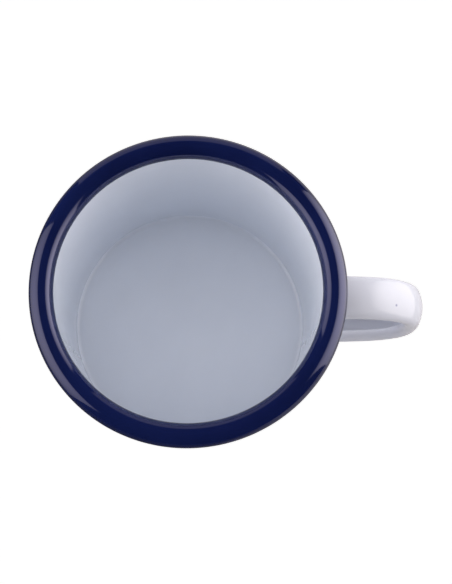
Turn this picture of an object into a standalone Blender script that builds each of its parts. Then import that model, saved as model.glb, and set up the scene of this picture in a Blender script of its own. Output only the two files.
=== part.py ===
"""Enamelled steel mug: a deep-drawn cup with a rolled rim, and a hollow strap handle.

Frame: metres, +Z up, origin at the centre of the flat base, handle on the +X side.
Every coat is its own solid. Touching pieces keep the clearance FIT between them, which
stands for the fused bond between glass and steel.
"""

import math

import bmesh
import bpy
from mathutils import Vector

MM = 0.001

# Thickness of the layers, from the inside of the cup outwards.
SHEET = 0.5 * MM
COAT = 0.35 * MM
FIT = 0.3 * MM
INNER_COAT = (0.0, COAT)
STEEL = (COAT + FIT, COAT + FIT + SHEET)
OUTER_COAT = (STEEL[1] + FIT, STEEL[1] + FIT + COAT)
WALL = OUTER_COAT[1]

# Cup.
MOUTH_RADIUS = 39.0 * MM  # glazed inside of the wall at the rim
FLOOR_RADIUS = 37.9 * MM  # glazed inside of the wall at the floor
DEPTH = 64.0 * MM  # glazed floor to the centre of the rolled rim
CORNER_RADIUS = 1.2 * MM  # glazed inside corner between floor and wall
BEAD_RADIUS = 3.53 * MM  # rolled rim over its blue coat
CURL_END = -135  # degrees round the rolled rim, where the steel edge stops
RIM_COAT_END = -125  # degrees, where the blue coat stops under the roll
AROUND = 48  # facets round the cup
ROLL_STEP = 20  # degrees round the rolled rim between points
CORNER_STEP = 22.5  # degrees round the floor's corner between points
MERGE_DISTANCE = 0.01 * MM  # joins each turned body at the axis and where it closes

# Handle, a C-shaped channel. Its section lies on the middle of the steel.
HANDLE_WIDTH = 12.8 * MM  # over the coats
HANDLE_FOOT_WIDTH = 13.7 * MM  # over the coats, where it meets the cup
FOOT_FLARE = 11 * MM  # length over which the strap widens to its foot
CROWN_RADIUS = 11.5 * MM
FLANK_RADIUS = 1.9 * MM
LIP_TURN = 170  # degrees that each flank turns through, from the crown to its lip
HANDLE_START_X = 36.0 * MM  # inside the cup's wall
HANDLE_START_DROP = 7.3 * MM  # below the centre of the rolled rim
HANDLE_START_HEADING = -3  # degrees above +X
# Each run is a turn in degrees and a radius, or no turn and a length.
HANDLE_RUNS = (
    (0, 14.0 * MM),
    (-4, 60.0 * MM),
    (-76, 19.3 * MM),
    (-10, 68.0 * MM),
    (-67, 19.5 * MM),
    (-13, 52.0 * MM),
    (0, 14.0 * MM),
)
SWEEP_STEP = 11  # degrees of the handle's bends between stations
LONGEST_STEP = 6 * MM  # the most between stations
CROWN_STEPS = 2  # on each half of the channel's crown
FLANK_STEP = 24  # degrees round each flank between points
LIP_ROUND_STEPS = 3  # round the edge of each lip
CUTTER_FOOT = 4 * MM  # the cutters for the handle's ends start this high, well below it

FLOOR_Z = WALL
BEAD_CENTRE = Vector((MOUTH_RADIUS + BEAD_RADIUS, FLOOR_Z + DEPTH))
DRAFT = math.atan((MOUTH_RADIUS - FLOOR_RADIUS) / DEPTH)
WALL_UP = Vector((math.sin(DRAFT), math.cos(DRAFT)))
WALL_IN = Vector((-math.cos(DRAFT), math.sin(DRAFT)))
WALL_TOP_ANGLE = 180 - math.degrees(DRAFT)  # where the wall runs into the roll


def clear_scene():
    for obj in list(bpy.data.objects):
        bpy.data.objects.remove(obj, do_unlink=True)


def material(name, colour, roughness, metallic=0.0):
    made = bpy.data.materials.new(name)
    made.use_nodes = True
    shader = made.node_tree.nodes["Principled BSDF"]
    shader.inputs["Base Color"].default_value = (*colour, 1.0)
    shader.inputs["Roughness"].default_value = roughness
    shader.inputs["Metallic"].default_value = metallic
    return made


def link_object(name, mesh, look=None):
    obj = bpy.data.objects.new(name, mesh)
    bpy.context.scene.collection.objects.link(obj)
    if look:
        mesh.materials.append(look)
    return obj


def shade(mesh, sharp_angle=35):
    mesh.shade_smooth()
    mesh.set_sharp_from_angle(angle=math.radians(sharp_angle))


def arc(centre, radius, start, end, step=ROLL_STEP):
    """Points on a circle from start to end degrees, both included."""
    count = max(1, math.ceil(abs(end - start) / step - 1e-6))
    angles = [math.radians(start + (end - start) * i / count) for i in range(count + 1)]
    return [centre + radius * Vector((math.cos(a), math.sin(a))) for a in angles]


# Cup ----------------------------------------------------------------------------------


def wall_point(offset, z):
    """Where the surface that lies `offset` outside the glazed inside is, at height z."""
    top = BEAD_CENTRE + (BEAD_RADIUS - offset) * WALL_IN
    return top + WALL_UP * ((z - top.y) / WALL_UP.y)


def floor_and_corner(offset):
    """From the axis, over the floor and round the corner, up to the foot of the wall."""
    centre = wall_point(-CORNER_RADIUS, FLOOR_Z + CORNER_RADIUS)
    bend = arc(centre, CORNER_RADIUS + offset, -90, -math.degrees(DRAFT), CORNER_STEP)
    return [Vector((0, FLOOR_Z - offset)), *bend]


def roll(offset, end):
    """Round the rolled rim, from where the wall runs into it to `end` degrees."""
    return arc(BEAD_CENTRE, BEAD_RADIUS - offset, WALL_TOP_ANGLE, end)


def turned(name, profile, look=None, ring=False):
    """A body turned about Z. Its profile runs from the inside of the cup over to the outside."""
    mesh = bpy.data.meshes.new(name)
    points = [(p.x, 0, p.y) for p in profile]
    edges = [(i, i + 1) for i in range(len(points) - 1)]
    if ring:
        edges.append((len(points) - 1, 0))
    mesh.from_pydata(points, edges, [])
    obj = link_object(name, mesh, look)
    screw = obj.modifiers.new("turn", "SCREW")
    screw.steps = AROUND
    screw.render_steps = AROUND
    screw.use_merge_vertices = True
    screw.merge_threshold = MERGE_DISTANCE
    screw.use_smooth_shade = True
    return obj


def cup_shell(look):
    inside = floor_and_corner(STEEL[0]) + roll(STEEL[0], CURL_END)
    outside = floor_and_corner(STEEL[1]) + roll(STEEL[1], CURL_END)
    return turned("cup_shell", inside + outside[::-1], look)


def inner_enamel(look):
    inside, outside = (
        [*floor_and_corner(offset), BEAD_CENTRE + (BEAD_RADIUS - offset) * WALL_IN]
        for offset in INNER_COAT
    )
    return turned("inner_enamel", inside + outside[::-1], look)


def rim_enamel(look):
    start = WALL_TOP_ANGLE - math.degrees(FIT / BEAD_RADIUS)
    outside = arc(BEAD_CENTRE, BEAD_RADIUS, start, RIM_COAT_END)
    inside = arc(BEAD_CENTRE, BEAD_RADIUS - COAT, start, RIM_COAT_END)
    return turned("rim_enamel", outside + inside[::-1], look, ring=True)


def outer_enamel(look, handle_passage):
    rim_end = arc(BEAD_CENTRE, BEAD_RADIUS, RIM_COAT_END, RIM_COAT_END)[0]
    top = rim_end.y - FIT
    inside, outside = (
        [*floor_and_corner(offset), wall_point(offset, top)] for offset in OUTER_COAT
    )
    obj = turned("outer_enamel", inside + outside[::-1], look)
    cut_away(obj, handle_passage)
    return obj


def cup_block(name, offset):
    """A solid block that fills the cup out to the surface at this offset: a cutter."""
    top = BEAD_CENTRE.y
    profile = [
        Vector((0, top)),
        wall_point(offset, top),
        wall_point(offset, CUTTER_FOOT),
        Vector((0, CUTTER_FOOT)),
    ]
    return as_cutter(turned(name, profile))


# Handle -------------------------------------------------------------------------------


def handle_frames():
    """Stations along the strap: a point in the XZ plane, its outward normal, its distance."""
    point = Vector((HANDLE_START_X, BEAD_CENTRE.y - HANDLE_START_DROP))
    heading = math.radians(HANDLE_START_HEADING)
    stations = [(point.copy(), heading, 0.0)]
    run_length = 0.0
    for turn, size in HANDLE_RUNS:
        angle = math.radians(turn)
        length = abs(angle) * size if turn else size
        steps = max(1, math.ceil(abs(turn) / SWEEP_STEP), round(length / LONGEST_STEP))
        for _ in range(steps):
            chord = heading + angle / steps / 2
            stretch = 2 * size * math.sin(abs(angle) / steps / 2) if turn else length / steps
            point = point + stretch * Vector((math.cos(chord), math.sin(chord)))
            heading += angle / steps
            run_length += length / steps
            stations.append((point.copy(), heading, run_length))
    return [
        (at, Vector((-math.sin(heading), math.cos(heading))), along, run_length - along)
        for at, heading, along in stations
    ]


def channel_half():
    """Half of the channel's middle line: (across, outwards, tangent angle) from the crown on."""
    half_width = HANDLE_WIDTH / 2 - COAT - FIT - SHEET / 2
    flank_y = half_width - FLANK_RADIUS
    radius_step = CROWN_RADIUS - FLANK_RADIUS
    crown_end = math.asin(flank_y / radius_step)
    flank_n = radius_step * math.cos(crown_end) - CROWN_RADIUS
    points = []
    for i in range(CROWN_STEPS + 1):
        a = crown_end * i / CROWN_STEPS
        points.append((CROWN_RADIUS * math.sin(a), CROWN_RADIUS * (math.cos(a) - 1), a))
    lip_end = math.radians(LIP_TURN)
    steps = math.ceil(math.degrees(lip_end - crown_end) / FLANK_STEP)
    for i in range(1, steps + 1):
        a = crown_end + (lip_end - crown_end) * i / steps
        across = flank_y + FLANK_RADIUS * math.sin(a)
        points.append((across, flank_n + FLANK_RADIUS * math.cos(a), a))
    return points


def channel_outline(offset):
    """The closed outline that stays `offset` from the channel's middle line, round its lips."""
    half = channel_half()
    outer = [(y + offset * math.sin(a), n + offset * math.cos(a)) for y, n, a in half]
    inner = [(y - offset * math.sin(a), n - offset * math.cos(a)) for y, n, a in half]
    y, n, a = half[-1]
    lip = []
    for i in range(1, LIP_ROUND_STEPS):
        around = a + math.pi * i / LIP_ROUND_STEPS
        lip.append((y + offset * math.sin(around), n + offset * math.cos(around)))
    right = outer + lip + inner[::-1]
    left = [(-y, n) for y, n in right[-2:0:-1]]
    return right + left


def foot_widening(along, back):
    """How much wider the strap is than its section, this far from either end."""
    reach = min(along, back) - cup_reach()
    blend = min(max(1 - reach / FOOT_FLARE, 0), 1)
    return 1 + (HANDLE_FOOT_WIDTH / HANDLE_WIDTH - 1) * blend**2


def cup_reach():
    """The length of strap that starts inside the cup's wall and is trimmed off."""
    return MOUTH_RADIUS + WALL - HANDLE_START_X


def swept(name, outlines, look=None):
    """A body swept along the handle: one outline makes a bar, and two make a sleeve."""
    bm = bmesh.new()
    loops = []
    for outline in outlines:
        rings = []
        for at, normal, along, back in handle_frames():
            wide = foot_widening(along, back)
            ring = [
                bm.verts.new((at.x + normal.x * n, y * wide, at.y + normal.y * n))
                for y, n in outline
            ]
            rings.append(ring)
        loops.append(rings)
    count = len(outlines[0])
    for rings in loops:
        for first, second in zip(rings, rings[1:]):
            for i in range(count):
                j = (i + 1) % count
                bm.faces.new((first[i], first[j], second[j], second[i]))
    for end in (0, -1):
        if len(loops) == 1:
            bm.faces.new(loops[0][end])
            continue
        outer, inner = loops[0][end], loops[1][end]
        for i in range(count):
            j = (i + 1) % count
            bm.faces.new((outer[i], outer[j], inner[j], inner[i]))
    bmesh.ops.recalc_face_normals(bm, faces=bm.faces)
    mesh = bpy.data.meshes.new(name)
    bm.to_mesh(mesh)
    bm.free()
    shade(mesh)
    return link_object(name, mesh, look)


def handle_strap(look, wall_block):
    obj = swept("handle_strap", [channel_outline(SHEET / 2)], look)
    cut_away(obj, wall_block)
    return obj


def handle_enamel(look, wall_block):
    inside = SHEET / 2 + FIT
    outlines = [channel_outline(inside + COAT), channel_outline(inside)]
    obj = swept("handle_enamel", outlines, look)
    cut_away(obj, wall_block)
    return obj


# Cutters ------------------------------------------------------------------------------


def as_cutter(obj):
    obj.hide_render = True
    obj.display_type = "WIRE"
    return obj


def cut_away(obj, cutter):
    boolean = obj.modifiers.new("cut_" + cutter.name, "BOOLEAN")
    boolean.operation = "DIFFERENCE"
    boolean.object = cutter
    boolean.solver = "EXACT"


def main():
    clear_scene()
    steel = material("steel", (0.33, 0.33, 0.34), 0.45, 1.0)
    white = material("white_enamel", (0.86, 0.88, 0.90), 0.08)
    blue = material("blue_enamel", (0.008, 0.012, 0.10), 0.06)

    handle_passage = as_cutter(swept("handle_passage", [channel_outline(SHEET / 2 + FIT)]))
    cup_shell(steel)
    inner_enamel(white)
    outer_enamel(white, handle_passage)
    rim_enamel(blue)
    handle_strap(steel, cup_block("steel_wall_block", STEEL[1] + FIT))
    handle_enamel(white, cup_block("coated_wall_block", OUTER_COAT[1] + FIT))


main()
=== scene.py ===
"""The looks of the enamel mug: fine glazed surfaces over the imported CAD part.

Everything is in metres, in the CAD part's frame: +Z up, the cup's axis on Z, the base at
z = 0 and the handle towards +X. The cup's coats are turned from one profile each, and the
handle's coat is swept along the strap. The steel stays as the CAD made it, under the glass.
"""

import math

import bpy
import numpy as np
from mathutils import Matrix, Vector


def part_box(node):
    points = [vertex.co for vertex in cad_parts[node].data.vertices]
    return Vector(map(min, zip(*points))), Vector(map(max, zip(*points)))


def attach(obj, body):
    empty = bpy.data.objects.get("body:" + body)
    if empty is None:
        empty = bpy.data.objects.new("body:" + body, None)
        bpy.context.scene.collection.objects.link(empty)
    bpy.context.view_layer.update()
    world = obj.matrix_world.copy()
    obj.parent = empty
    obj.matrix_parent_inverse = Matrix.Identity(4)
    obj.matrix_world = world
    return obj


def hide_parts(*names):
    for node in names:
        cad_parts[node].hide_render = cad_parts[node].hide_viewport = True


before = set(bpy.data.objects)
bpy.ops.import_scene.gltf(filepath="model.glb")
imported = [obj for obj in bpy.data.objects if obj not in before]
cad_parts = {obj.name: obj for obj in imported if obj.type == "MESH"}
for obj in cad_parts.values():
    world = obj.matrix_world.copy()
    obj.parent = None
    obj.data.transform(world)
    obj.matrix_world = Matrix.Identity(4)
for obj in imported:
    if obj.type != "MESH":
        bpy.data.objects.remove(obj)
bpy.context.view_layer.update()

MM = 0.001
TAU = 2 * math.pi

# The cup, as the CAD part has it.
WALL = 1.8 * MM
STEEL_FACE = 0.5 * MM  # where the inner coat's hidden side lies, outside its glazed side
MOUTH_RADIUS = 39.0 * MM
FLOOR_RADIUS = 37.9 * MM
CORNER_RADIUS = 1.2 * MM
BEAD_RADIUS = 3.53 * MM
RIM_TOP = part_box("rim_enamel")[1][2]
BEAD_Z = RIM_TOP - BEAD_RADIUS
BEAD_R = MOUTH_RADIUS + BEAD_RADIUS
FLOOR_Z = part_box("inner_enamel")[0][2] + WALL - 1.45 * MM
AROUND = 288  # points round the cup

# The handle's strap, as the CAD part has it.
HANDLE_WIDTH = 12.8 * MM
HANDLE_FOOT_WIDTH = 13.7 * MM
FOOT_FLARE = 11 * MM
CROWN_RADIUS = 11.5 * MM
FLANK_RADIUS = 1.9 * MM
LIP_TURN = math.radians(170)
STRAP_HALF = 0.9 * MM  # from the middle of the steel to the coat's surface
STRAP_HIDDEN = 0.45 * MM
HANDLE_START_X = 36.0 * MM
HANDLE_START_DROP = 7.3 * MM
HANDLE_START_HEADING = math.radians(-3)
HANDLE_RUNS = (  # a turn in degrees and a radius, or no turn and a length
    (0, 14.0 * MM),
    (-4, 60.0 * MM),
    (-76, 19.3 * MM),
    (-10, 68.0 * MM),
    (-67, 19.5 * MM),
    (-13, 52.0 * MM),
    (0, 14.0 * MM),
)


OVAL = 0.10 * MM  # how far the mouth is off a circle, in two waves round it and in three
LOBES = 0.06 * MM


# Meshes -------------------------------------------------------------------------------


def make_object(name, points, faces, material, sharp=40):
    mesh = bpy.data.meshes.new(name)
    mesh.from_pydata([tuple(p) for p in points], [], [tuple(f) for f in faces])
    mesh.validate()
    mesh.update()
    mesh.shade_smooth()
    mesh.set_sharp_from_angle(angle=math.radians(sharp))
    mesh.materials.append(material)
    obj = bpy.data.objects.new(name, mesh)
    bpy.context.scene.collection.objects.link(obj)
    return obj


def out_of_round(points):
    """The cup is pressed and fired thin, so its mouth is a tenth of a millimetre off a circle."""
    moved = np.array(points, float)
    angle = np.arctan2(moved[:, 1], moved[:, 0])
    height = np.clip(moved[:, 2] / RIM_TOP, 0, 1)
    radius = np.hypot(moved[:, 0], moved[:, 1])
    lift = OVAL * np.cos(2 * angle - 0.9) + LOBES * np.cos(3 * angle + 0.4)
    grow = lift * height**2 * np.clip(radius / FLOOR_RADIUS, 0, 1)
    scale = 1 + grow / np.maximum(radius, MM)
    moved[:, 0] *= scale
    moved[:, 1] *= scale
    return moved


def turned(name, profile, material, ring=False, edge_wave=None):
    """A closed body turned about Z from (r, z) points that run up the inside and down the outside."""
    points, rows = [], []
    for r, z in profile:
        if r < 1e-9:
            rows.append([len(points)] * AROUND)
            points.append((0.0, 0.0, z))
            continue
        rows.append(list(range(len(points), len(points) + AROUND)))
        for i in range(AROUND):
            a = TAU * i / AROUND
            dip = edge_wave(a, r, z) if edge_wave else 0.0
            points.append((r * math.cos(a), r * math.sin(a), z + dip))
    faces = []
    pairs = list(zip(rows, rows[1:]))
    if ring:
        pairs.append((rows[-1], rows[0]))
    for low, high in pairs:
        for i in range(AROUND):
            j = (i + 1) % AROUND
            corners = (low[i], low[j], high[j], high[i])
            face = list(dict.fromkeys(corners))
            if len(face) > 2:
                faces.append(face[::-1])
    return make_object(name, out_of_round(points), faces, material)


def arc(centre, radius, start, end, count):
    angles = np.radians(np.linspace(start, end, count + 1))
    return [(centre[0] + radius * math.cos(a), centre[1] + radius * math.sin(a)) for a in angles]


def line(start, end, count):
    return [tuple(p) for p in np.linspace(start, end, count + 1)]


def glazed_radius(z):
    """Radius of the wall's glazed inside at height z."""
    return MOUTH_RADIUS - (BEAD_Z - z) * (MOUTH_RADIUS - FLOOR_RADIUS) / (BEAD_Z - FLOOR_Z)


DRAFT = math.degrees(math.atan((MOUTH_RADIUS - FLOOR_RADIUS) / (BEAD_Z - FLOOR_Z)))
CORNER = (glazed_radius(FLOOR_Z + CORNER_RADIUS) - CORNER_RADIUS, FLOOR_Z + CORNER_RADIUS)
BEAD = (BEAD_R, BEAD_Z)
COLOUR_STEP = 0.05 * MM  # the blue coat stands this proud of the white one
POOL_ANGLES = (15, 27)  # degrees between which the glass in the floor's corner bends slowly
POOL_RADII = (0.9 * MM, 3.4 * MM)
INNER_FOOT = 1.56 * MM  # height over the floor at which the straight wall starts, inside
OUTER_FOOT = 1.44 * MM  # and outside
OUTER_HIDDEN = 1.3 * MM  # the outer coat's hidden side, out from the inner coat's glazed side
WHITE_TOP = BEAD_Z - 3.95 * MM
UNDER_ROLL = 0.8 * MM  # fillet of glass between the roll's underside and the wall
BLUE_LAP = 0.55 * MM  # how far the blue runs down the wall under that fillet
BLUE_HIDDEN = 0.42 * MM  # the blue coat's hidden side, in from the roll's surface
BLUE_WAVES = ((0.14 * MM, 5, 0.7), (0.10 * MM, 11, 2.1), (0.06 * MM, 23, 0.0))  # size, count, turn


def corner_and_floor(offset):
    """From the axis over the floor and round the corner, at this distance outside the glazed side."""
    floor = line((0, FLOOR_Z - offset), (CORNER[0], FLOOR_Z - offset), 9)
    return floor + arc(CORNER, CORNER_RADIUS + offset, -90, -DRAFT, 14)[1:]


def wall(offset, start_z, end_z, count):
    return line(
        (glazed_radius(start_z) + offset, start_z), (glazed_radius(end_z) + offset, end_z), count
    )


def pooled_corner():
    """The glass pools where floor meets wall: it lifts off the floor slowly, then turns up."""
    points = line((0, FLOOR_Z), (CORNER[0], FLOOR_Z), 9)
    first, slow, last = (math.radians(a) for a in (*POOL_ANGLES, 90 - DRAFT))
    lean = (MOUTH_RADIUS - FLOOR_RADIUS) / (BEAD_Z - FLOOR_Z)
    across = POOL_RADII[0] * math.sin(first) + POOL_RADII[1] * (math.sin(slow) - math.sin(first))
    up = POOL_RADII[0] * (1 - math.cos(first))
    up += POOL_RADII[1] * (math.cos(first) - math.cos(slow))
    room = FLOOR_RADIUS + lean * up - CORNER[0] - across
    sharp = room / (math.sin(last) - math.sin(slow) - lean * (math.cos(slow) - math.cos(last)))
    (r, z), angle = points[-1], 0.0
    bends = ((first, POOL_RADII[0], 4), (slow, POOL_RADII[1], 8), (last, sharp, 12))
    for end, radius, count in bends:
        for stop in np.linspace(angle, end, count + 1)[1:]:
            r += radius * (math.sin(stop) - math.sin(angle))
            z += radius * (math.cos(angle) - math.cos(stop))
            angle = stop
            points.append((r, z))
    return points


def inside_profile():
    foot = FLOOR_Z + INNER_FOOT
    glazed = pooled_corner() + wall(0, foot, BEAD_Z, 40)
    glazed += arc(BEAD, BEAD_RADIUS, 178, 158, 5)
    hidden = arc(BEAD, BEAD_RADIUS - STEEL_FACE, 158, 178, 4)
    hidden += wall(STEEL_FACE, BEAD_Z, foot, 10) + corner_and_floor(STEEL_FACE)[::-1]
    return glazed + hidden


def outside_profile():
    foot = FLOOR_Z + OUTER_FOOT
    hidden = corner_and_floor(OUTER_HIDDEN) + wall(OUTER_HIDDEN, foot, WHITE_TOP, 10)
    shown = wall(WALL, WHITE_TOP, foot, 60) + corner_and_floor(WALL)[::-1]
    return hidden + shown


def rim_profile():
    """The blue coat: over the roll, into the fillet under it and a little way down the wall."""
    proud = BEAD_RADIUS + COLOUR_STEP
    outer_wall = glazed_radius(BEAD_Z - 4 * MM) + WALL
    fillet_r = outer_wall + UNDER_ROLL
    drop = math.sqrt((BEAD_RADIUS + UNDER_ROLL) ** 2 - (BEAD_R - fillet_r) ** 2)
    fillet = (fillet_r, BEAD_Z - drop)
    touch = math.degrees(math.atan2(-drop, fillet_r - BEAD_R))
    shown = [(BEAD_R - BEAD_RADIUS, BEAD_Z)]
    shown += arc(BEAD, proud, 179, touch, 100)
    shown += arc(fillet, UNDER_ROLL - COLOUR_STEP, touch + 180, 180, 12)[1:]
    end = fillet[1] - BLUE_LAP
    shown += line(
        (outer_wall + COLOUR_STEP, fillet[1]), (outer_wall + COLOUR_STEP, end), 4
    )[1:]
    shown.append((outer_wall + 0.2 * COLOUR_STEP, end - COLOUR_STEP))
    hidden = [
        (outer_wall + 0.02 * MM, WHITE_TOP + 0.05 * MM),
        (outer_wall - 0.35 * MM, WHITE_TOP + 0.1 * MM),
    ]
    hidden += arc(BEAD, BEAD_RADIUS - BLUE_HIDDEN, -128, 150, 40)
    hidden += arc(BEAD, BEAD_RADIUS + 0.01 * MM, 156, 178, 5)
    return shown + hidden


def blue_edge_wave(angle, r, z):
    """The blue was banded on by hand, so its lower edge under the roll wanders a little."""
    low = BEAD_Z - 4.0 * MM
    if z > low or r < MOUTH_RADIUS + WALL - 0.5 * MM:
        return 0.0
    wave = sum(size * math.sin(count * angle + turn) for size, count, turn in BLUE_WAVES)
    return wave * min((low - z) / (0.8 * MM), 1)


# Handle -------------------------------------------------------------------------------


def handle_path(step=0.45 * MM):
    """Stations (x, z, heading, distance) along the middle of the strap's crown."""
    x, z, heading, gone = HANDLE_START_X, BEAD_Z - HANDLE_START_DROP, HANDLE_START_HEADING, 0.0
    stations = [(x, z, heading, gone)]
    for turn, size in HANDLE_RUNS:
        angle = math.radians(turn)
        length = abs(angle) * size if turn else size
        count = max(2, round(length / step))
        for _ in range(count):
            middle = heading + angle / count / 2
            x += length / count * math.cos(middle)
            z += length / count * math.sin(middle)
            heading += angle / count
            gone += length / count
            stations.append((x, z, heading, gone))
    return np.array(stations)


def channel_middle():
    """The channel's middle line: (across, outwards, tangent angle) from lip to lip."""
    half = HANDLE_WIDTH / 2 - STRAP_HALF
    crown_end = math.asin((half - FLANK_RADIUS) / (CROWN_RADIUS - FLANK_RADIUS))
    crown = np.linspace(0, crown_end, 9)
    side = [(CROWN_RADIUS * math.sin(a), CROWN_RADIUS * (math.cos(a) - 1), a) for a in crown]
    cy = half - FLANK_RADIUS
    cn = (CROWN_RADIUS - FLANK_RADIUS) * math.cos(crown_end) - CROWN_RADIUS
    for a in np.linspace(crown_end, LIP_TURN, 21)[1:]:
        side.append((cy + FLANK_RADIUS * math.sin(a), cn + FLANK_RADIUS * math.cos(a), a))
    return [(-y, n, -a) for y, n, a in side[:0:-1]] + side


def channel_outline(outer, inner):
    """A closed outline round the channel: `outer` beyond its middle line, `inner` within it."""
    middle = channel_middle()
    front = [(y + outer * math.sin(a), n + outer * math.cos(a)) for y, n, a in middle]
    back = [(y - inner * math.sin(a), n - inner * math.cos(a)) for y, n, a in middle]
    lips = []
    for (y, n, a), turn in ((middle[-1], 1), (middle[0], -1)):
        lip = []
        for i in range(1, 8):
            around = a + turn * math.pi * i / 8
            reach = outer + (inner - outer) * i / 8
            lip.append((y + reach * math.sin(around), n + reach * math.cos(around)))
        lips.append(lip)
    return front + lips[0] + back[::-1] + lips[1][::-1]


FILLET_OUT = 1.7 * MM  # fillet of glass where the handle meets the wall
FILLET_IN = 0.7 * MM
FOOT_LENGTH = 2.6 * MM  # from the wall to the first ring that lies square to the strap
FOOT_SHARES = (0.0, 0.03, 0.08, 0.15, 0.24, 0.36, 0.5, 0.66, 0.84)
INTO_WALL = 0.02 * MM  # the end rings lie this far inside the wall's surface


def fillet_growth(distance, radius):
    if distance >= radius:
        return 0.0
    return radius - math.sqrt(radius**2 - (radius - distance) ** 2)


def outer_wall_x(y, z):
    radius = glazed_radius(z) + WALL
    return math.sqrt(max(radius**2 - y**2, 0))


def handle_rings(outer, inner, fillets):
    """Rings of points along the handle. The end rings lie on the wall and flare into it."""
    path = handle_path()
    total = path[-1, 3]
    trimmed = MOUTH_RADIUS + WALL - HANDLE_START_X
    reach_of_foot = trimmed + FOOT_LENGTH
    kept = path[(path[:, 3] > reach_of_foot) & (path[:, 3] < total - reach_of_foot)]

    def ring(x, z, heading, gone, grow_out=0.0, grow_in=0.0):
        reach = min(gone, total - gone) - trimmed
        blend = min(max(1 - reach / FOOT_FLARE, 0), 1)
        wide = 1 + (HANDLE_FOOT_WIDTH / HANDLE_WIDTH - 1) * blend**2
        nx, nz = -math.sin(heading), math.cos(heading)
        outline = channel_outline(outer + grow_out, inner + grow_in)
        return [(x + nx * n, y * wide, z + nz * n) for y, n in outline]

    def foot(station):
        """From the wall out to the first whole ring, each point straight along the strap."""
        x, z, heading, gone = station
        sign = 1 if gone < total / 2 else -1
        rings = []
        for share in FOOT_SHARES:
            distance = share * FOOT_LENGTH
            grow_out = fillet_growth(distance, FILLET_OUT) if fillets else 0
            grow_in = fillet_growth(distance, FILLET_IN) if fillets else 0
            placed = []
            back = gone - sign * FOOT_LENGTH * (1 - share)
            for px, py, pz in ring(x, z, heading, back, grow_out, grow_in):
                slope = math.tan(heading) if sign == 1 else math.tan(heading - math.pi)
                on_wall = outer_wall_x(py, pz)
                span = px - on_wall
                drawn_x = on_wall + span * share - INTO_WALL * (1 - share)
                placed.append((drawn_x, py, pz - slope * span * (1 - share)))
            rings.append(placed)
        return rings

    rings = foot(kept[0])
    rings += [ring(*station) for station in kept]
    rings += foot(kept[-1])[::-1]
    return rings


def handle_coat(material):
    """A sleeve of glass round the strap, closed at both ends where it meets the wall."""
    shown = handle_rings(STRAP_HALF, STRAP_HALF, True)
    hidden = handle_rings(STRAP_HIDDEN, STRAP_HIDDEN, False)
    count = len(shown[0])
    points = [p for ring in shown + hidden for p in ring]
    faces = []
    for side, flip in ((0, False), (len(shown), True)):
        for k in range(len(shown) - 1):
            for i in range(count):
                j = (i + 1) % count
                a, b = (side + k) * count, (side + k + 1) * count
                face = (a + i, a + j, b + j, b + i)
                faces.append(face if flip else face[::-1])
    for k, flip in ((0, True), (len(shown) - 1, False)):
        for i in range(count):
            j = (i + 1) % count
            a, b = k * count, (len(shown) + k) * count
            face = (a + i, a + j, b + j, b + i)
            faces.append(face if flip else face[::-1])
    return make_object("handle_coat", points, faces, material, sharp=60)


# Materials ----------------------------------------------------------------------------


class Nodes:
    """A short way to build a material's node tree."""

    def __init__(self, name):
        self.material = bpy.data.materials.new(name)
        self.material.use_nodes = True
        self.tree = self.material.node_tree
        self.shader = self.tree.nodes["Principled BSDF"]

    def add(self, kind, **settings):
        node = self.tree.nodes.new(kind)
        for key, value in settings.items():
            setattr(node, key, value)
        return node

    def link(self, source, target):
        self.tree.links.new(source, target)

    def noise(self, scale, detail=2.0, roughness=0.5):
        place = self.add("ShaderNodeTexCoord")
        noise = self.add("ShaderNodeTexNoise")
        noise.inputs["Scale"].default_value = scale
        noise.inputs["Detail"].default_value = detail
        noise.inputs["Roughness"].default_value = roughness
        self.link(place.outputs["Object"], noise.inputs["Vector"])
        return noise.outputs["Fac"]

    def ramp(self, source, stops):
        """A colour that runs from the first (place, colour) stop to the second."""
        ramp = self.add("ShaderNodeValToRGB")
        for element, (at, colour) in zip(ramp.color_ramp.elements, stops):
            element.position = at
            element.color = (*colour, 1.0)
        self.link(source, ramp.inputs["Fac"])
        return ramp.outputs["Color"]

    def spread(self, source, low, high, start=0.3, end=0.7):
        """Maps start..end, at first the range a noise mostly fills, to low..high."""
        spread = self.add("ShaderNodeMapRange")
        spread.inputs["From Min"].default_value = start
        spread.inputs["From Max"].default_value = end
        spread.inputs["To Min"].default_value = low
        spread.inputs["To Max"].default_value = high
        self.link(source, spread.inputs["Value"])
        return spread.outputs["Result"]

    def glow(self, radiance):
        """Makes the surface a lamp that is black otherwise."""
        self.shader.inputs["Emission Color"].default_value = (*LIGHT_COLOUR, 1)
        self.shader.inputs["Base Color"].default_value = (0, 0, 0, 1)
        self.shader.inputs["Specular IOR Level"].default_value = 0
        if isinstance(radiance, float):
            self.shader.inputs["Emission Strength"].default_value = radiance
        else:
            self.link(radiance, self.shader.inputs["Emission Strength"])

    def bump(self, source, distance, strength=1.0, normal=None):
        bump = self.add("ShaderNodeBump")
        bump.inputs["Distance"].default_value = distance
        bump.inputs["Strength"].default_value = strength
        self.link(source, bump.inputs["Height"])
        if normal:
            self.link(normal, bump.inputs["Normal"])
        return bump.outputs["Normal"]


FLECK_X = 61.0 * MM
FLECK_Y = -2.2 * MM
FLECK_CORE = 0.18 * MM  # radius within which the speck is as blue as it gets
FLECK_EDGE = 0.5 * MM
FLECK_SHARE = 0.75
FLECK_BLUE = (0.16, 0.18, 0.36)


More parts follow.
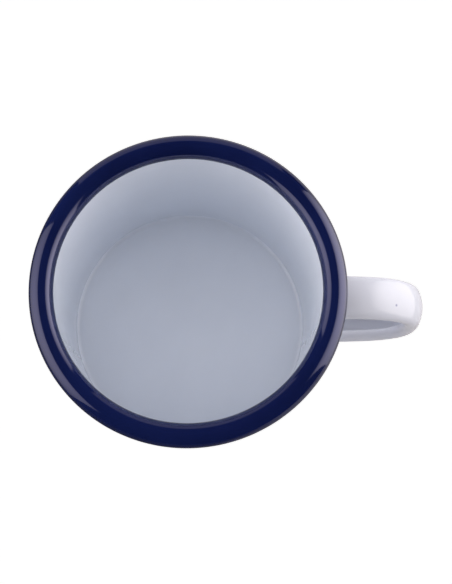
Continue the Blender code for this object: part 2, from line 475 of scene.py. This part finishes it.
def enamel(name, tints, ior=1.52, tint=(1.0, 1.0, 1.0), fleck=None, ripple=1.0):
    """Fired glass: a clear gloss, cloudy colour and, with a ripple, orange peel and slow waves."""
    nodes = Nodes(name)
    colour = nodes.ramp(nodes.noise(55, 3), ((0.35, tints[0]), (0.65, tints[1])))
    if fleck:
        place = nodes.add("ShaderNodeTexCoord")
        away = nodes.add("ShaderNodeVectorMath", operation="DISTANCE")
        away.inputs[1].default_value = fleck
        nodes.link(place.outputs["Object"], away.inputs[0])
        share = nodes.spread(away.outputs["Value"], FLECK_SHARE, 0.0, FLECK_CORE, FLECK_EDGE)
        mix = nodes.add("ShaderNodeMix", data_type="RGBA")
        mix.inputs["B"].default_value = (*FLECK_BLUE, 1)
        nodes.link(share, mix.inputs["Factor"])
        nodes.link(colour, mix.inputs["A"])
        colour = mix.outputs["Result"]
    nodes.link(colour, nodes.shader.inputs["Base Color"])
    nodes.link(nodes.spread(nodes.noise(140, 2), 0.045, 0.09), nodes.shader.inputs["Roughness"])
    if ripple:
        waves = nodes.bump(nodes.noise(70, 1), 0.05 * MM, 0.1 * ripple)
        peel = nodes.bump(nodes.noise(520, 2), 0.01 * MM, 0.15 * ripple, waves)
        nodes.link(peel, nodes.shader.inputs["Normal"])
    nodes.shader.inputs["IOR"].default_value = ior
    nodes.shader.inputs["Specular Tint"].default_value = (*tint, 1)
    return nodes.material


def fleck_place():
    """Where a speck of the blue landed on the handle's crown before firing."""
    top = [s for s in handle_path() if s[0] > FLECK_X and s[1] > BEAD_Z / 2][0]
    x, z, heading, _ = top
    sag = CROWN_RADIUS * (math.cos(math.asin(FLECK_Y / CROWN_RADIUS)) - 1)
    out = STRAP_HALF + sag
    return (x - math.sin(heading) * out, FLECK_Y, z + math.cos(heading) * out)


def steel_sheet():
    nodes = Nodes("steel_sheet")
    colour = nodes.ramp(
        nodes.noise(240, 4, 0.7), ((0.3, (0.26, 0.26, 0.27)), (0.7, (0.40, 0.40, 0.41)))
    )
    nodes.link(colour, nodes.shader.inputs["Base Color"])
    nodes.link(nodes.spread(nodes.noise(400, 3), 0.38, 0.6), nodes.shader.inputs["Roughness"])
    nodes.link(nodes.bump(nodes.noise(900, 3), 0.01 * MM, 0.5), nodes.shader.inputs["Normal"])
    nodes.shader.inputs["Metallic"].default_value = 1.0
    return nodes.material


# Studio -------------------------------------------------------------------------------

LIGHT_COLOUR = (1.07, 1.0, 0.975)
CAMERA_ELEVATION = math.radians(79.0)
CAMERA_AZIMUTH = math.radians(0.75)
CAMERA_DISTANCE = 387.0 * MM  # to the plane of the rolled rim's centre
CAMERA_AIM = (3.64 * MM, -0.97 * MM)
PIXELS_HIGH = 584
PIXELS_WIDE = 452
FOCAL_PIXELS = 1338.3
AXIS_COLUMN = 200.65


def add_camera():
    data = bpy.data.cameras.new("camera")
    data.sensor_width = 36
    data.lens = data.sensor_width * FOCAL_PIXELS / PIXELS_HIGH
    data.shift_x = (PIXELS_WIDE / 2 - AXIS_COLUMN) / PIXELS_HIGH
    data.clip_start = 0.01
    camera = bpy.data.objects.new("camera", data)
    back = -CAMERA_DISTANCE * math.cos(CAMERA_ELEVATION)
    x, y = CAMERA_AIM[0], CAMERA_AIM[1] + back
    c, s = math.cos(CAMERA_AZIMUTH), math.sin(CAMERA_AZIMUTH)
    camera.location = (
        c * x - s * y,
        s * x + c * y,
        BEAD_Z + CAMERA_DISTANCE * math.sin(CAMERA_ELEVATION),
    )
    camera.rotation_euler = (math.pi / 2 - CAMERA_ELEVATION, 0, CAMERA_AZIMUTH)
    bpy.context.scene.collection.objects.link(camera)
    bpy.context.scene.camera = camera


def panel_light(name, bottom, top, y_range, hot, radiance, spread):
    """A softbox as the gloss shows it: it leans over the mug and has a hot spot (y, height share)."""
    nodes = Nodes(name)
    place = nodes.add("ShaderNodeTexCoord")
    away = nodes.add("ShaderNodeVectorMath", operation="DOT_PRODUCT")
    nodes.link(place.outputs["Object"], away.inputs[0])
    nodes.link(place.outputs["Object"], away.inputs[1])
    fall = nodes.add("ShaderNodeMath", operation="MULTIPLY")
    fall.inputs[1].default_value = -1 / spread**2
    nodes.link(away.outputs["Value"], fall.inputs[0])
    glow = nodes.add("ShaderNodeMath", operation="EXPONENT")
    nodes.link(fall.outputs["Value"], glow.inputs[0])
    power = nodes.add("ShaderNodeMath", operation="MULTIPLY")
    power.inputs[1].default_value = radiance
    nodes.link(glow.outputs["Value"], power.inputs[0])
    nodes.glow(power.outputs["Value"])
    low, high = np.array(bottom), np.array(top)
    centre = low + (high - low) * hot[1]
    middle = np.array((centre[0], hot[0], centre[1]))
    corners = []
    for (x, z), y in ((low, 0), (low, 1), (high, 1), (high, 0)):
        corners.append(np.array((x, y_range[y], z)) - middle)
    panel = make_object(name, corners, [(0, 1, 2, 3)], nodes.material)
    panel.location = middle
    panel.visible_camera = False
    panel.visible_diffuse = False


SOFTBOXES = (
    # name, bottom and top (x, z), y range, hot spot, radiance, spread
    ("right", (0.15, 0.01), (0.12, 0.235), (-0.06, 0.15), (0.035, 0.42), 3.9, 0.12),
    ("left", (-0.19, 0.01), (-0.125, 0.245), (-0.14, 0.097), (-0.02, 0.6), 2.3, 0.15),
)
BACK_GLOW = 0.5
BACK_X = (-0.21, 0.15)
BACK_Y = 0.25
BACK_TOP = 0.24
DOME_RADIUS = 2.0
DOME_LEVEL = 0.73
DOME_TILT = (-0.25, 0.62, 0.0)  # how much brighter the dome is towards +X, +Y and +Z
DOME_SIDES = 2.2  # how much brighter it is towards both sides


def dome_light():
    """The soft light of the whole room, on the colour of things but not in their gloss."""
    nodes = Nodes("dome")
    place = nodes.add("ShaderNodeTexCoord")
    towards = nodes.add("ShaderNodeVectorMath", operation="NORMALIZE")
    nodes.link(place.outputs["Object"], towards.inputs[0])
    tilt = nodes.add("ShaderNodeVectorMath", operation="DOT_PRODUCT")
    tilt.inputs[1].default_value = DOME_TILT
    nodes.link(towards.outputs["Vector"], tilt.inputs[0])
    split = nodes.add("ShaderNodeSeparateXYZ")
    nodes.link(towards.outputs["Vector"], split.inputs["Vector"])
    square = nodes.add("ShaderNodeMath", operation="MULTIPLY")
    nodes.link(split.outputs["X"], square.inputs[0])
    nodes.link(split.outputs["X"], square.inputs[1])
    sides = nodes.add("ShaderNodeMath", operation="MULTIPLY_ADD")
    sides.inputs[1].default_value = DOME_SIDES
    sides.inputs[2].default_value = DOME_LEVEL
    nodes.link(square.outputs["Value"], sides.inputs[0])
    level = nodes.add("ShaderNodeMath", operation="ADD")
    nodes.link(sides.outputs["Value"], level.inputs[0])
    nodes.link(tilt.outputs["Value"], level.inputs[1])
    nodes.glow(level.outputs["Value"])
    dome = open_turned("dome", arc((0, 0), DOME_RADIUS, 90, 0, 8), 32, nodes.material)
    dome.visible_camera = False
    dome.visible_glossy = False


def add_lights():
    for softbox in SOFTBOXES:
        panel_light(*softbox)
    back = Nodes("backdrop_glow")
    back.glow(BACK_GLOW)
    left, right = BACK_X
    outline = ((left, 0), (right, 0), (right, BACK_TOP), (left, BACK_TOP))
    corners = [(x, BACK_Y, z) for x, z in outline]
    panel = make_object("backdrop_glow", corners, [(0, 1, 2, 3)], back.material)
    panel.visible_camera = False
    panel.visible_diffuse = False
    dome_light()


BOWL_FLAT = 1.2  # radius of the backdrop's flat middle, and of the curve up from it
BOWL_TOP = 4.0
BOWL_DROP = 1 * MM  # keeps it clear of the mug's base
TABLE_HALF = 1.2
GLOSS_TABLE_DROP = 0.5 * MM
BOUNCE_TABLE_DROP = 0.6 * MM
WORLD_STRENGTH = 0.02


def open_turned(name, profile, around, material):
    """A surface turned about Z from (r, z) points, the first of them on the axis."""
    points, faces = [(0.0, 0.0, profile[0][1])], []
    for r, z in profile[1:]:
        for i in range(around):
            a = TAU * i / around
            points.append((r * math.cos(a), r * math.sin(a), z))
    for i in range(around):
        faces.append((0, 1 + i, 1 + (i + 1) % around))
    for k in range(len(profile) - 2):
        low, high = 1 + k * around, 1 + (k + 1) * around
        for i in range(around):
            j = (i + 1) % around
            faces.append((low + i, high + i, high + j, low + j))
    return make_object(name, points, faces, material)


def add_floor():
    """The white backdrop the camera sees, the table the gloss shows and the one that gives light."""
    white = Nodes("studio_white")
    white.shader.inputs["Base Color"].default_value = (0.6, 0.6, 0.6, 1)
    white.shader.inputs["Roughness"].default_value = 0.9
    white.shader.inputs["Emission Color"].default_value = (1, 1, 1, 1)
    white.shader.inputs["Emission Strength"].default_value = 1.0
    profile = line((0, 0), (BOWL_FLAT, 0), 8)
    profile += arc((BOWL_FLAT, BOWL_FLAT), BOWL_FLAT, -90, 0, 16)[1:]
    profile.append((2 * BOWL_FLAT, BOWL_TOP))
    bowl = open_turned("studio_white", profile, 64, white.material)
    bowl.visible_diffuse = False
    bowl.visible_glossy = False
    bowl.visible_transmission = False
    bowl.visible_shadow = False
    bowl.location.z = -BOWL_DROP

    # painted shade: the colour of the table that the gloss shows runs from dark at the front and left
    # to light at the back and right, standing in for the room's light falling more from behind
    grey = Nodes("studio_grey_painted_shade")
    place = grey.add("ShaderNodeTexCoord")
    towards = grey.add("ShaderNodeVectorMath", operation="DOT_PRODUCT")
    towards.inputs[1].default_value = (1.0, 0.6, 0.0)
    grey.link(place.outputs["Object"], towards.inputs[0])
    shade = grey.spread(towards.outputs["Value"], 0.06, 0.55, -0.08, 0.10)
    grey.link(shade, grey.shader.inputs["Base Color"])
    grey.shader.inputs["Roughness"].default_value = 0.6
    table = flat_table("studio_grey_painted_shade", GLOSS_TABLE_DROP, grey.material)
    table.visible_diffuse = False
    table.visible_shadow = False

    bounce = Nodes("studio_bounce")
    bounce.shader.inputs["Base Color"].default_value = (0.7, 0.7, 0.72, 1)
    bounce.shader.inputs["Roughness"].default_value = 0.9
    table = flat_table("studio_bounce", BOUNCE_TABLE_DROP, bounce.material)
    table.visible_glossy = False


def flat_table(name, drop, material):
    half = TABLE_HALF
    corners = [(-half, -half), (half, -half), (half, half), (-half, half)]
    points = [(x, y, -drop) for x, y in corners]
    table = make_object(name, points, [(0, 1, 2, 3)], material)
    table.visible_camera = False
    return table


def add_world(strength):
    world = bpy.data.worlds.new("studio")
    world.use_nodes = True
    world.node_tree.nodes["Background"].inputs["Color"].default_value = (1, 1, 1, 1)
    world.node_tree.nodes["Background"].inputs["Strength"].default_value = strength
    bpy.context.scene.world = world


# The scene ----------------------------------------------------------------------------


def dress_mug():
    # painted shade: the white of the outside and the handle is a darker copy of the same enamel as
    # the inside's white, darkened to hold back the light on the handle; the inside's white is the lit
    # copy
    white = enamel("white_enamel", ((0.590, 0.625, 0.715), (0.610, 0.645, 0.730)))
    smooth = enamel("inner_white_lit_copy", ((0.715, 0.77, 0.858), (0.735, 0.79, 0.876)), ripple=0.0)
    flecked = enamel(
        "handle_white_shaded_copy", ((0.590, 0.625, 0.715), (0.610, 0.645, 0.730)), 1.46, fleck=fleck_place()
    )
    blue = enamel(
        "blue_enamel", ((0.0035, 0.0075, 0.052), (0.0045, 0.0095, 0.062)), 1.66, (0.72, 0.73, 1.0)
    )
    steel = steel_sheet()
    for node in ("cup_shell", "handle_strap"):
        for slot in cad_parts[node].material_slots:
            slot.material = steel

    pieces = (
        (turned("white_inside", inside_profile(), smooth), "inner_enamel", "white_enamel"),
        (turned("white_outside", outside_profile(), white), "outer_enamel", "white_enamel"),
        (
            turned("blue_rim", rim_profile(), blue, ring=True, edge_wave=blue_edge_wave),
            "rim_enamel",
            "blue_enamel",
        ),
        (handle_coat(flecked), "handle_enamel", "white_enamel"),
    )
    for piece, node, slot in pieces:
        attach(piece, "root")
        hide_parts(node)


dress_mug()
add_camera()
add_floor()
add_world(WORLD_STRENGTH)
add_lights()
bpy.context.scene.view_settings.view_transform = "Standard"
